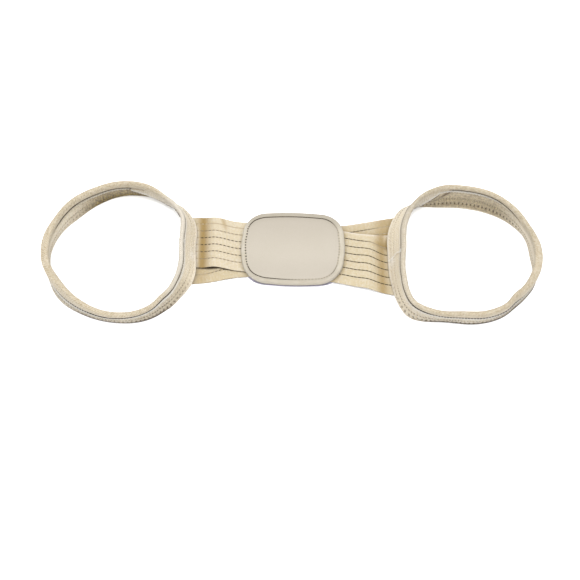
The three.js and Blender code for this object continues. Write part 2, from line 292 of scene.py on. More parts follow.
def grid_faces(rows, columns, closed_rows, closed_columns):
    """Quads over a grid of points, and each corner's (row, column), counted on past a closed seam."""
    row = np.arange(rows if closed_rows else rows - 1)
    column = np.arange(columns if closed_columns else columns - 1)
    i, j = (a.ravel() for a in np.meshgrid(row, column, indexing="ij"))
    corners = [(i, j), (i, j + 1), (i + 1, j + 1), (i + 1, j)]
    faces = np.stack([(a % rows) * columns + b % columns for a, b in corners], axis=1)
    return faces.tolist(), np.stack([np.stack(c, axis=1) for c in corners], axis=1)


def sheet_piece(name, points, material, along, across, closed, masks):
    """A closed skin: rings of points along the cloth, each once round its section."""
    rows, columns = points.shape[:2]
    faces, corners = grid_faces(rows, columns, closed, True)
    along = np.append(along, 2 * along[-1] - along[-2])
    across = np.append(across, 2 * across[-1] - across[-2])
    weave = [np.stack([along[corners[..., 0]], across[corners[..., 1]]], axis=-1).reshape(-1, 2)]
    if not closed:
        ring = np.arange(columns)
        for row, end in ((0, ring[::-1]), (rows - 1, ring)):
            faces.append((row * columns + end).tolist())
            weave.append(np.stack([np.full(columns, along[row]), across[end]], axis=1))
    return build_piece(name, points.reshape(-1, 3), faces, material, np.concatenate(weave), masks)


def dome_piece(name, rings, material, masks):
    """A closed skin over rings that shrink to a middle point at both ends."""
    rows, columns = rings.shape[:2]
    faces, _ = grid_faces(rows, columns, False, True)
    first = rows * columns
    top = first - columns
    for k in range(columns):
        following = (k + 1) % columns
        faces.append([first, following, k])
        faces.append([first + 1, top + k, top + following])
    points = np.concatenate([rings.reshape(-1, 3), [rings[0].mean(0), rings[-1].mean(0)]])
    masks = {key: np.append(v, [v[0, 0], v[-1, -1]]) for key, v in masks.items()}
    return build_piece(name, points, faces, material, None, masks)


# Stitches

STITCH_SIDES = 6
STITCH_RINGS = ((-0.5, 0.25), (-0.42, 0.75), (-0.2, 1.0), (0.2, 1.0), (0.42, 0.75), (0.5, 0.25))


def stitch_shape():
    """One stitch of unit length, width and height, lying along x: its points and faces."""
    angles = 2 * np.pi * np.arange(STITCH_SIDES) / STITCH_SIDES
    points = [
        (x, 0.5 * size * math.cos(a), 0.5 * size * math.sin(a)) for x, size in STITCH_RINGS for a in angles
    ]
    faces, _ = grid_faces(len(STITCH_RINGS), STITCH_SIDES, False, True)
    last = (len(STITCH_RINGS) - 1) * STITCH_SIDES
    ends = [list(range(STITCH_SIDES)), [last + k for k in range(STITCH_SIDES)][::-1]]
    return np.array(points), [face[::-1] for face in faces] + ends


def stitches_piece(name, place, starts, length, width, height, material, fade=0.0):
    """Stitches laid on a surface. starts has (along, across, turn_deg) of each stitch's middle, and place
    takes along, across and height over the surface, in millimetres."""
    shape, faces = stitch_shape()
    starts = np.asarray(starts, float)
    turn = np.radians(starts[:, 2:3])
    x, y, lift = (np.reshape(size, (-1, 1)) * shape[:, k] for k, size in enumerate((length, width, height)))
    along = starts[:, 0:1] + x * np.cos(turn) - y * np.sin(turn)
    across = starts[:, 1:2] + x * np.sin(turn) + y * np.cos(turn)
    points = place(along, across, np.broadcast_to(lift, along.shape))
    count = len(shape)
    all_faces = [[i * count + k for k in face] for i in range(len(starts)) for face in faces]
    masks = {"fade": np.repeat(np.broadcast_to(fade, len(starts)), count)}
    return build_piece(name, points.reshape(-1, 3), all_faces, material, None, masks)


# Materials

SHEEN_ROUGHNESS = 0.6


def linear(hex_colour):
    """A colour written as rrggbb, in the renderer's linear values."""
    parts = [int(hex_colour[i : i + 2], 16) / 255 for i in (0, 2, 4)]
    values = [p / 12.92 if p <= 0.04045 else ((p + 0.055) / 1.055) ** 2.4 for p in parts]
    return (*(TONE * v for v in values), 1.0)


class Look:
    """A material, and the nodes that make up its colour and its bump."""

    def __init__(self, name, roughness, specular, sheen):
        self.material = bpy.data.materials.new(name)
        self.material.use_nodes = True
        self.tree = self.material.node_tree
        self.shader = self.tree.nodes["Principled BSDF"]
        self.shader.inputs["Roughness"].default_value = roughness
        self.shader.inputs["Specular IOR Level"].default_value = specular
        self.shader.inputs["Sheen Weight"].default_value = sheen
        self.shader.inputs["Sheen Roughness"].default_value = SHEEN_ROUGHNESS

    def node(self, kind, **inputs):
        """A new node, with some of its inputs set by name."""
        node = self.tree.nodes.new("ShaderNode" + kind)
        for name, value in inputs.items():
            self.feed(node.inputs[name], value)
        return node

    def feed(self, socket, value):
        """Links a socket to another's output, or sets its number or colour."""
        if isinstance(value, bpy.types.NodeSocket):
            self.tree.links.new(value, socket)
        else:
            socket.default_value = linear(value) if isinstance(value, str) else value

    def calculate(self, operation, first, second=0.0):
        node = self.node("Math")
        node.operation = operation
        self.feed(node.inputs[0], first)
        self.feed(node.inputs[1], second)
        return node.outputs[0]

    def plus(self, first, second):
        return self.calculate("ADD", first, second)

    def times(self, first, second):
        return self.calculate("MULTIPLY", first, second)

    def mix(self, share, first, second):
        """The first colour where the share is 0, the second where it is 1."""
        node = self.node("Mix")
        node.data_type = "RGBA"
        for index, value in ((0, share), (6, first), (7, second)):
            self.feed(node.inputs[index], value)
        return node.outputs[2]

    def spread(self, value, low, high):
        """0 where the value is low, 1 where it is high."""
        node = self.node("MapRange")
        for index, number in enumerate((value, low, high)):
            self.feed(node.inputs[index], number)
        return node.outputs[0]

    def blend(self, value, low, high, first, second):
        """The first colour where the value is low, the second where it is high."""
        return self.mix(self.spread(value, low, high), first, second)

    def layers(self, face, **colours):
        """The face with a colour laid over it by each mask."""
        for name, colour in colours.items():
            face = self.mix(self.mask(name), face, colour)
        return face

    def place(self):
        """The object's own coordinates."""
        return self.node("TexCoord").outputs["Object"]

    def noise(self, scale, detail=3.0):
        """Noise over the object, with this many lumps a metre."""
        return self.node("TexNoise", Vector=self.place(), Scale=scale, Detail=detail).outputs["Fac"]

    def mask(self, name):
        node = self.node("Attribute")
        node.attribute_name = name
        return node.outputs["Fac"]

    def weave(self):
        """The cloth's own coordinates in metres: along and across."""
        node = self.node("UVMap")
        node.uv_map = "weave"
        parts = self.node("SeparateXYZ", Vector=node.outputs["UV"])
        return parts.outputs["X"], parts.outputs["Y"]

    def ripple(self, coordinate, pitch, sway=0.0):
        """A wave of this pitch in millimetres, from -1 to 1, pushed sideways by sway."""
        turn = self.times(coordinate, 2 * math.pi / (pitch * MM))
        return self.calculate("SINE", self.plus(turn, sway))

    def finish(self, colour, height, depth):
        """Sets the colour, and a bump whose height, from about -1 to 1, is this deep in millimetres."""
        self.feed(self.shader.inputs["Base Color"], colour)
        bump = self.node("Bump", Strength=1.0, Distance=depth * MM, Height=height)
        self.feed(self.shader.inputs["Normal"], bump.outputs["Normal"])
        return self.material


def knit_material():
    """Padded knit: small loops, a darker reverse laid on as painted shade, pale sewn strips, painted light,
    and painted shade in the ladder holes and other shaded places.
    """
    look = Look("loop_knit", 0.95, 0.15, 0.1)
    along, across = look.weave()
    wales = look.ripple(along, 2.8)
    courses = look.ripple(across, 2.5, look.times(wales, 1.5))
    loops = look.plus(courses, look.times(wales, 0.7))
    lumps = look.noise(430, 2.0)
    # Painted light: where warm is high, the web takes an even cream without its darker loops, and its bump is
    # calmed.
    calm = look.plus(look.times(look.mask("warm"), -0.7), 1.0)
    height = look.times(look.plus(loops, look.times(lumps, 1.5)), calm)
    face = look.blend(look.noise(120), 0.3, 0.7, "e2d2b5", "e9dbc2")
    face = look.blend(loops, -1.7, -0.3, "c7b58f", face)
    face = look.blend(lumps, 0.6, 0.35, "efe6d5", face)
    reverse = look.blend(lumps, 0.35, 0.65, "4e3a0a", "aa9147")
    reverse = look.blend(loops, -1.7, -0.1, "4b380f", reverse)
    face = look.layers(face, warm="e3d4b8", inside=reverse, shade="4f3e25", pale="f6f1ea", pit="3f2f10")
    return look.finish(face, height, 0.28)


def roll_material():
    """Soft binding tape: fine slanting threads, slight mottling, painted shade in the crease at its thread
    lines, and pale strips with painted light on the lap.
    """
    look = Look("loop_tape", 0.9, 0.2, 0.1)
    twill = look.ripple(look.plus(*look.weave()), 2.5)
    lumps = look.noise(560)
    height = look.plus(twill, look.times(lumps, 1.5))
    face = look.blend(look.noise(90), 0.3, 0.7, "c5b698", "cfc2a8")
    face = look.blend(twill, -1.0, 0.2, "aa9874", face)
    face = look.blend(lumps, 0.68, 0.34, "ddd0b9", face)
    # pinch lays painted shade at the thread lines; pale lays white edge strips and painted light on the lap.
    face = look.layers(face, pale="f4efe6", pinch="54473a")
    return look.finish(face, height, 0.28)


def elastic_material():
    """Ribbed elastic: crosswise ribs, lengthwise warp, painted shade in its folds, grooves and gaps, and a
    painted highlight along its upper edge.
    """
    look = Look("elastic", 0.8, 0.2, 0.1)
    along, across = look.weave()
    ribs = look.ripple(along, 1.45)
    warp = look.ripple(across, 1.05)
    height = look.plus(look.plus(ribs, look.times(warp, 0.6)), look.noise(800))
    face = look.blend(look.noise(70), 0.35, 0.65, "dcd1b8", "e3dac7")
    face = look.blend(look.noise(260, 4.0), 0.45, 0.8, face, "e5d4c2")
    face = look.blend(look.noise(500, 2.0), 0.62, 0.32, "d3c29e", face)
    face = look.blend(ribs, -1.0, 0.3, "d6c7a6", face)
    # edge lays a painted highlight on the upper edge, a paler left part and painted light by the left band;
    # fold, groove and dark lay painted shade.
    face = look.mix(look.times(look.mask("edge"), 0.8), face, "f4e8d8")
    face = look.layers(face, fold="a38649", groove="8d7650", dark="4a3614")
    return look.finish(face, height, 0.16)


def leather_material():
    """Smooth faux leather: a fine grain, a soft shine, painted shade towards its top and bottom, and painted
    shade in the sewn groove.
    """
    look = Look("pad_leather", 0.5, 0.4, 0.0)
    cells = look.node("TexVoronoi", Vector=look.place(), Scale=1300)
    cells.feature = "DISTANCE_TO_EDGE"
    grain = look.spread(cells.outputs["Distance"], 0.0, 0.3)
    height = look.plus(grain, look.times(look.noise(300), 0.8))
    face = look.blend(look.noise(25, 2.0), 0.3, 0.7, "b9b1a2", "bdb5a7")
    face = look.blend(grain, 0.0, 0.5, "b3aa99", face)
    # Painted shade towards the panel's top and bottom.
    face = look.mix(look.times(look.mask("painted_shade"), 0.4), face, "a2998a")
    # groove lays painted shade in the sewn groove.
    return look.finish(look.layers(face, groove="6b5a3d"), height, 0.03)


def tape_material():
    """Folded edge tape of the pad: matte, with a fine twill, painted shade along its top and bottom and low
    on its sides, and painted shade in the sewn groove.
    """
    look = Look("pad_tape", 0.75, 0.3, 0.1)
    twill = look.ripple(look.plus(*look.weave()), 1.1)
    face = look.blend(look.noise(110), 0.3, 0.7, "c6bdaa", "d0c8b8")
    # Painted shade along the tape's top and bottom and low on its sides.
    face = look.mix(look.times(look.mask("painted_shade"), 0.55), face, "9d9484")
    # groove lays painted shade in the sewn groove.
    face = look.layers(face, groove="86785c")
    return look.finish(face, look.plus(twill, look.noise(600)), 0.08)


def backing_material():
    """Brushed backing cloth, white with a lilac tinge."""
    look = Look("backing_cloth", 0.95, 0.2, 0.3)
    face = look.blend(look.noise(200), 0.3, 0.7, "b4afc0", "c2bdce")
    return look.finish(face, look.noise(1500), 0.2)


def thread_material(name, dark, pale):
    """Twisted thread. The fade mask takes it from its dark colour to its pale one."""
    look = Look(name, 0.8, 0.15, 0.0)
    face = look.mix(look.mask("fade"), dark, pale)
    worn = look.times(look.spread(look.noise(900), 0.4, 0.9), 0.2)
    return look.finish(look.mix(worn, face, pale), look.noise(2500), 0.1)


def floor_material():
    look = Look("floor", 0.9, 0.1, 0.0)
    face = look.mix(look.noise(3), (0.92, 0.92, 0.92, 1), (0.94, 0.94, 0.94, 1))
    return look.finish(face, look.noise(60), 0.02)


KNIT = knit_material()
ROLL = roll_material()
ELASTIC = elastic_material()
LEATHER = leather_material()
TAPE = tape_material()
BACKING = backing_material()
STRAP_THREAD = thread_material("strap_thread", "1d1713", "cbbb9d")
LOOP_THREAD = thread_material("loop_thread", "171312", "c6b99f")
PAD_THREAD = thread_material("pad_thread", "2a2010", "cfc5b0")
WHITE_THREAD = thread_material("white_thread", "f1ede5", "d8cab0")


# Arm loops, at shares of a turn round them

def off_bearing(turn, bearing_deg):
    """Degrees past a bearing, from -180 to 180."""
    return np.mod(turn * 360 - bearing_deg + 180, 360) - 180


def bearing_window(turn, start_deg, end_deg, soft_deg):
    """1 between two bearings, fading over soft_deg past each."""
    half = (end_deg - start_deg) / 2
    return 1 - ease(np.abs(off_bearing(turn, start_deg + half)), half, half + soft_deg)


def join_nearness(loop, turn, full_deg, none_deg):
    """1 within full_deg of the straps' join, falling to 0 at none_deg."""
    return 1 - ease(np.abs(off_bearing(turn, loop.join_deg)), full_deg, none_deg)


def near_side(turn):
    """1 on the loops' near sides, where the outer face shows."""
    return bearing_window(turn, 215, 325, 30)


def band_row(loop, turn):
    """The lower edge's radius, and the band's lean and cup in radians."""
    radius, lean, cup = np.moveaxis(closed_curve(loop.rows, turn), -1, 0)
    for bearing, reach, lean_in, draw_in in loop.tucks:
        near = bell(off_bearing(turn, bearing), 0, reach)
        lean = lean - lean_in * near
        radius = radius - draw_in * near
    return radius, np.radians(lean), np.radians(cup)


def rim(loop, turn):
    """The lower edge's place in plan."""
    radius = band_row(loop, turn)[0]
    bearing = 2 * np.pi * np.mod(turn, 1.0)
    x, y = loop.centre
    return np.stack([x + radius * np.cos(bearing), y + radius * np.sin(bearing)], axis=-1)


def place_on_loop(loop, turn, through, up):
    """Points of a band: through runs towards the loop's middle and up from the band's lower edge. The band
    rises over the strap ends where it is sewn to them."""
    turn, through, up = np.broadcast_arrays(turn, through, up)
    step = 0.5 / FRAME_STEPS
    along = rim(loop, turn + step) - rim(loop, turn - step)
    along = along / np.linalg.norm(along, axis=-1, keepdims=True)
    outward = np.stack([along[..., 1], -along[..., 0]], axis=-1)
    height = up - WEB_THICKNESS / 2
    _, lean, cup = band_row(loop, turn)
    low = lean - cup / 2
    here = low + cup * height / BAND_HEIGHT
    mean = (low + here) / 2
    out = height * np.sin(mean) - through * np.cos(here)
    plan = rim(loop, turn) + outward * out[..., None]
    lift = JOIN_LIFT * join_nearness(loop, turn, JOIN_HALF_SPAN_DEG, JOIN_HALF_SPAN_DEG + JOIN_RAMP_DEG)
    z = lift + WEB_THICKNESS / 2 + height * np.cos(mean) + through * np.sin(here)
    return np.concatenate([plan, z[..., None]], axis=-1)


def loop_lengths(loop):
    """Shares of a turn and the length along the band's middle up to each."""
    turns = np.linspace(0, 1, LENGTH_SAMPLES)
    points = place_on_loop(loop, turns, 0.0, BAND_HEIGHT / 2)
    return turns, running(np.linalg.norm(np.diff(points, axis=0), axis=1))


def loop_stations(loop, count):
    """Even places along the band and their shares of a turn, and the band's length."""
    turns, lengths = loop_lengths(loop)
    distance = lengths[-1] * np.arange(count) / count
    return distance, np.interp(distance, lengths, turns), lengths[-1]


def pale_share(loop, turn, face):
    """How white the sewn strip beside a face's thread line is."""
    start, end, least, most = loop.pale[face]
    return least + (most - least) * bearing_window(turn, start, end, 30)


def squeeze(loop, turn):
    """How much the binding's outer leg thins, near the straps' join."""
    return loop.thin * join_nearness(loop, turn, 40, 88)


def raised(loop, turn, up, face):
    """Heights up the inner (above 0) or outer face, with the leg's edge and thread line moved up or down."""
    start, end, most = loop.inner_lift
    inner = most * bearing_window(turn, start, end, 30)
    outer = closed_curve(np.array(loop.outer_line)[:, None], turn)[..., 0] - OUTER_LINE
    return up + np.where(face > 0, inner, outer) * ease(up, 3, 20.5) * (1 - ease(up, 22.4, 28.4))


def line_fade(loop, turn, face):
    """How far the thread line on a face sinks into the cloth and out of sight."""
    start, end, most = loop.line_fade[face]
    at_join = 0.3 * join_nearness(loop, turn, 30, 50) * (face == OUTER)
    return np.maximum(most * bearing_window(turn, start, end, 18), at_join)


def web_half(up):
    """Half the web's thickness: a round lower edge, and a thin tongue in the binding."""
    up = np.asarray(up, float)
    half = WEB_THICKNESS / 2
    low = np.sqrt(np.clip(half**2 - (half - np.clip(up, 0, half)) ** 2, 0, None))
    swell = 0.45 * np.sin(np.pi * np.clip((up - half) / (WEB_PINCH_FROM - half), 0, 1))
    pinch = WEB_PINCH * ease(up, WEB_PINCH_FROM, WEB_PINCH_TO)
    tongue = (half - WEB_PINCH - TONGUE_HALF) * ease(up, TONGUE_FROM - 0.8, TONGUE_FROM)
    return np.where(up < half, low, half + swell - pinch - tongue)


def web_relief(distance, up, length):
    """How far the web's faces stand out, and where its ladder holes are."""
    pitch = length / LADDER_COUNT
    hole = np.clip(np.cos(2 * np.pi * distance / pitch), 0, 1) ** 0.8 * bell(up, LADDER_HEIGHT, LADDER_REACH)
    channel = bell(up, ROW_HEIGHT, ROW_REACH)
    rows = 0.1 * np.sin(2 * np.pi * up / 2.4) * ease(up, 13, 14) * (1 - ease(up, 18, 19.5))
    uneven = 0.18 * wander(distance, length / 9, 1) * bell(up, 13, 6)
    return -LADDER_DEPTH * hole - 0.35 * channel + rows + uneven, hole


def web_heights():
    """Heights up one face, closer together where the relief is fine."""
    spans = ((2.0, 3.2, 0.6), (3.2, 8.6, 0.36), (8.6, 13.4, 0.4), (13.4, 19.6, 0.78))
    arc = [WEB_THICKNESS / 2 * (1 - math.cos(math.radians(a))) for a in (20, 40, 60, 78)]
    faces = [np.arange(start, end - 0.01, step) for start, end, step in spans]
    top = [19.6, 20.2, 20.8, 21.4, 21.9, 22.3, TONGUE_FROM, 24.5, TONGUE_TOP]
    return np.concatenate([arc, *faces, top])


def seam_offset(loop, distance, up):
    """How far along the band a point lies from the wavy cross seam, if there is one."""
    if loop.seam_deg is None:
        return np.full(np.broadcast(distance, up).shape, NO_SEAM)
    turns, lengths = loop_lengths(loop)
    return distance - np.interp(loop.seam_deg / 360, turns, lengths) - SEAM_SWAY * np.sin(up / SEAM_PITCH)


def loop_web(name, loop):
    """The knitted web: up its inner face and down its outer one."""
    distance, turn, length = loop_stations(loop, WEB_STATIONS)
    turn = turn[:, None]
    heights = web_heights()
    up = np.concatenate([[0.0], heights, heights[::-1]])
    side = np.concatenate([[0.0], np.ones(len(heights)), -np.ones(len(heights))])
    outer = side < 0
    relief, hole = web_relief(distance[:, None], up + OUTER_LADDER_DROP * outer, length)
    seam = seam_offset(loop, distance[:, None], up)
    relief = relief + 0.55 * bell(seam, 0, 0.9) * outer
    through = side * (web_half(up) + relief * ease(up, 2.0, 3.4))
    bearing, reach, amount = loop.foot_in
    placed_up = raised(loop, turn, up, side)
    foot_in = amount * bell(off_bearing(turn, bearing), 0, reach) * np.clip(1 - placed_up / 20, 0, 1)
    points = place_on_loop(loop, turn, through, placed_up + foot_in)
    across = running(np.hypot(np.diff(side * web_half(up)), np.diff(up)))
    masks = web_masks(loop, turn, up, side, hole, seam)
    masks = {key: np.broadcast_to(value, through.shape) for key, value in masks.items()}
    return sheet_piece(name, points, KNIT, distance, across, True, masks)


def web_masks(loop, turn, up, side, hole, seam):
    """Where the web gets painted shade, painted light, painted shade in its ladder holes, and white sewing.
    """
    outer = side < 0
    inner = ease(side, -0.2, 0.6) * ease(up, 1.0, 3.0)
    # Painted shade on the far inner faces, in the knit's darker reverse colours, darker towards the lower
    # edge.
    start, end, most, soft = loop.inside_shade
    dark = most * bearing_window(turn, start, end, soft) ** 1.3 * (1 - 0.38 * ease(up, 4, 19))
    dark = dark * (1 - 0.22 * loop.pits * (1 - ease(up, 8, 12)))
    *brown_deg, brown_most = loop.brown
    brown = bearing_window(turn, *brown_deg, 16) * outer
    specks = brown * bell(up, 3.4, 1.0) * np.clip(np.cos(2 * np.pi * turn * LADDER_COUNT), 0, 1)
    # Painted shadow on the web under the lap's lower edge.
    lap_shadow = lap_share(loop, turn) * bell(up - LEG_EDGE + lap_length(loop, turn), -0.9, 1.3)
    # Painted shade in the fold just past the lap's start, on the inner face; the pale strip is taken away
    # there.
    notch_at, slope, reach, notch_up, notch_height = loop.notch_shade
    notch_shade = bell(lap_past(loop, turn) - notch_at - slope * (20 - up), 0, reach)
    notch_shade = inner * notch_shade * bell(up, notch_up, notch_height)
    low = outer * (1 - ease(up, 2.4, 5.0))
    # Painted shade along the foot of the near outer face, up to foot_top, away from the join.
    foot_shade = bearing_window(turn, 250, 325, 25) * outer * (1 - ease(up, 2.4, loop.foot_top))
    foot_shade = foot_shade * (1 - join_nearness(loop, turn, 40, 60))
    # Painted light on the web's foot near the join, against the shade there.
    lit_foot = 0.25 * join_nearness(loop, turn, 34, 50) * low
    # Painted shade in the ladder holes: backed sets how dark the pit mask makes them on each face.
    backed = np.where(outer, 0.45 - 0.4 * join_nearness(loop, turn, 20, 38), loop.pits)
    pale = np.where(side > 0, pale_share(loop, turn, INNER), pale_share(loop, turn, OUTER))
    patch = 0.45 * bell(off_bearing(turn, loop.patch_deg), 0, 4) * bell(up, 8, 4) * outer
    # Painted highlight on the seam's ridge and painted shade beside it; join_shade adds painted shade near
    # the join.
    ridge_highlight = 0.5 * bell(seam, 0, 0.8) * outer
    beside = 0.25 * bell(seam, 1.7, 0.9) + loop.join_shade * join_nearness(loop, turn, 15, 30)
    # Painted light near the straps' join, more at the outer face's foot, and on the inner faces within
    # warm_deg.
    warm = join_nearness(loop, turn, 30, 55) * (0.7 * outer + 0.15 * low)
    warm = warm + 0.4 * inner * bearing_window(turn, *loop.warm_deg, 25)
    near = near_side(turn) * outer
    near_shade = loop.near_shade * near * (1 - join_nearness(loop, turn, 25, 60))
    strip = np.where(side > 0, bell(up, 20.9, 0.5), bell(up, EDGING_HEIGHT - 1.3 * near, 0.9 + 0.7 * near))
    # Painted shade under the lap, in the fold, along the foot, on the near side, beside the seam and near the
    # join, with dark specks low down.
    shade = 0.9 * inner * lap_shadow + notch_shade + 0.95 * foot_shade + near_shade + beside * outer + 0.6 * specks
    # inside is painted shade on the far inner faces plus a browner outer face low down; pale is the white
    # sewn strip and a pale patch, with painted light on the foot and the seam's ridge.
    return {
        "inside": inner * dark + brown_most * brown * (1 - 0.5 * ease(up, 10, 20)),
        "shade": np.clip(shade, 0, 1),
        "warm": warm,
        "pit": np.clip(1.7 * hole * backed, 0, 1),
        "pale": np.clip((0.9 * pale * strip + patch + lit_foot + ridge_highlight) * (1 - notch_shade), 0, 1),
    }


def lap_past(loop, turn):
    """Degrees past the start of the lap, along the lap's way round."""
    start, end = loop.lap_deg
    return np.sign(end - start) * (off_bearing(turn, 0) - start)


def lap_share(loop, turn):
    """1 where the tape's end laps over the inner face, 0 away from it."""
    past = lap_past(loop, turn)
    return ease(past, 0.0, 2.0) * (1 - ease(past, *LAP_FADE_DEG))


def lap_cover(loop, turn):
    """1 where the lap hides the inner thread line."""
    past = lap_past(loop, turn)
    start = loop.lap_line_deg
    first = min(start, 0)
    lapped = ease(past, first, first + 2) * (1 - ease(past, *LAP_FADE_DEG))
    return lapped * np.maximum(0.7, ease(past, start, start + 3))


def lap_length(loop, turn):
    """How much lower the inner leg reaches on the lap: a small step, then a slanting edge."""
    start, end = loop.lap_deg
    slant = np.clip(lap_past(loop, turn) / abs(end - start), 0, 1)
    return lap_share(loop, turn) * (loop.lap_step + (LAP_DEPTH - loop.lap_step) * slant)


def binding_section(lap, thin, full, near, solid, pale_inner, pale_outer, fade_inner, fade_outer):
    """The binding's closed section at one station, from the inner leg's edge to the outer leg's and back
    inside: through, up, the pinch mask of painted shade at the thread lines, and the pale mask of white edge
    strips and painted light on the lap. lap lengthens the inner leg, thin squeezes the outer one, full plumps
    the roll, near and solid shape the outer crease, and the fades close the thread lines."""
    edge = LEG_EDGE - lap
    halfway = (edge + INNER_LINE) / 2
    skin, halfway_skin = (float(web_half(min(up, TONGUE_FROM - 0.9))) for up in (edge, halfway))
    skin = skin + 0.15
    rounding = np.radians(np.linspace(12, 168, 11))
    middle = BAND_HEIGHT - BINDING_HALF
    inner_leg = [
        (skin + 0.35, edge), (skin + 0.7, edge + 0.12), (skin + 0.8, edge + 0.4),
        (max(2.33, halfway_skin + 0.6), halfway), (2.4, INNER_LINE - 0.4),
        (2.2 + 0.25 * fade_inner, INNER_LINE), (2.45, INNER_LINE + 0.4), (2.62, INNER_LINE + 1.3),
        (2.75, 25.2), (2.76, 26.4),
    ]
    top = [(BINDING_HALF * math.cos(a), middle + BINDING_HALF * math.sin(a)) for a in rounding]
    outer_leg = [
        (-2.76, 26.4), (-2.75, 25.2), (-2.7, 24.4), (-2.6, OUTER_LINE + 1.3), (-2.4, OUTER_LINE + 0.4),
        (-2.15 - 0.2 * fade_outer, OUTER_LINE), (-2.25, LEG_EDGE + 0.3), (-2.1, LEG_EDGE + 0.1),
        (-1.75, LEG_EDGE),
    ]
    inside = [
        (-1.55, LEG_EDGE + 0.05), (-1.25, 23.5), (-1.15, 27.4), (1.15, 27.4), (1.25, 23.5),
        (skin, edge + 0.05),
    ]
    through, up = np.array(inner_leg + top + outer_leg + inside).T
    through = np.where(through < 0, through * (1 - thin), through)
    through = through * np.where(np.abs(through) > BINDING_SKIN, 1 + full * ease(up, 19, 25), 1)
    lapped = min(lap, 1.0)
    inner_pale = pale_inner * (1 - ease(up, edge + 0.25, edge + 0.6)) * (1 - 0.6 * lapped)
    # Painted light on the lap's face.
    inner_pale = inner_pale + 0.15 * lapped * (1 - ease(up, INNER_LINE, INNER_LINE + 3))
    inner_pale = inner_pale + 0.4 * lapped * (1 - ease(up, edge + 0.4, edge + 1.4))
    outer_pale = 0.8 * (1 - ease(up, LEG_EDGE + 0.3, LEG_EDGE + 0.6))
    outer_pale = pale_outer * (outer_pale + (0.3 + 0.2 * near) * bell(up, OUTER_LINE + 1.3, 0.5))
    # Painted shade in the crease at the outer thread line, wider and darker on the near side; the inner line
    # gets painted shade too.
    off_line = np.abs(up - OUTER_LINE - 0.35 * near)
    crease = (1 - 0.6 * near * (1 - solid)) * (1 - ease(off_line, 0.1 + 0.75 * near, 0.5 + 1.1 * near))
    pinch = np.where(through > 0, (1 - fade_inner) * bell(up, INNER_LINE, 0.3), (1 - fade_outer) * crease)
    return through, up, 0.9 * pinch, np.where(through > 0, inner_pale, outer_pale)


def loop_roll(name, loop):
    """The rolled binding along the band's upper edge, with the tape's fine crosswise ribs."""
    distance, turn, length = loop_stations(loop, BINDING_STATIONS)
    stations = zip(
        lap_length(loop, turn),
        squeeze(loop, turn),
        0.5 * bearing_window(turn, *loop.full_deg, 25),
        near_side(turn),
        bearing_window(turn, *loop.solid_deg, 8),
        pale_share(loop, turn, INNER),
        pale_share(loop, turn, OUTER),
        np.maximum(line_fade(loop, turn, INNER), lap_cover(loop, turn)),
        line_fade(loop, turn, OUTER),
    )
    sections = [binding_section(*station) for station in stations]
    through, up, pinch, pale = (np.array(values) for values in zip(*sections))
    ribs = length / round(length / TAPE_RIB_PITCH)
    rib = 0.09 * np.cos(2 * np.pi * distance / ribs)[:, None] * ease(up, 23.4, 25.5)
    plump = 0.16 * wander(distance, length / 13, 3)[:, None] * bell(up, 26.5, 3)
    through = through + np.sign(through) * (rib + plump) * (np.abs(through) > BINDING_SKIN)
    up = up + np.where(up > 29.2, rib + plump, 0)
    points = place_on_loop(loop, turn[:, None], through, raised(loop, turn[:, None], up, through))
    across = running(np.hypot(np.diff(through[0]), np.diff(up[0])))
    pale = np.clip(pale + loop.join_pale * join_nearness(loop, turn, 32, 60)[:, None], 0, 1)
    return sheet_piece(name, points, ROLL, distance, across, True, {"pinch": pinch, "pale": pale})


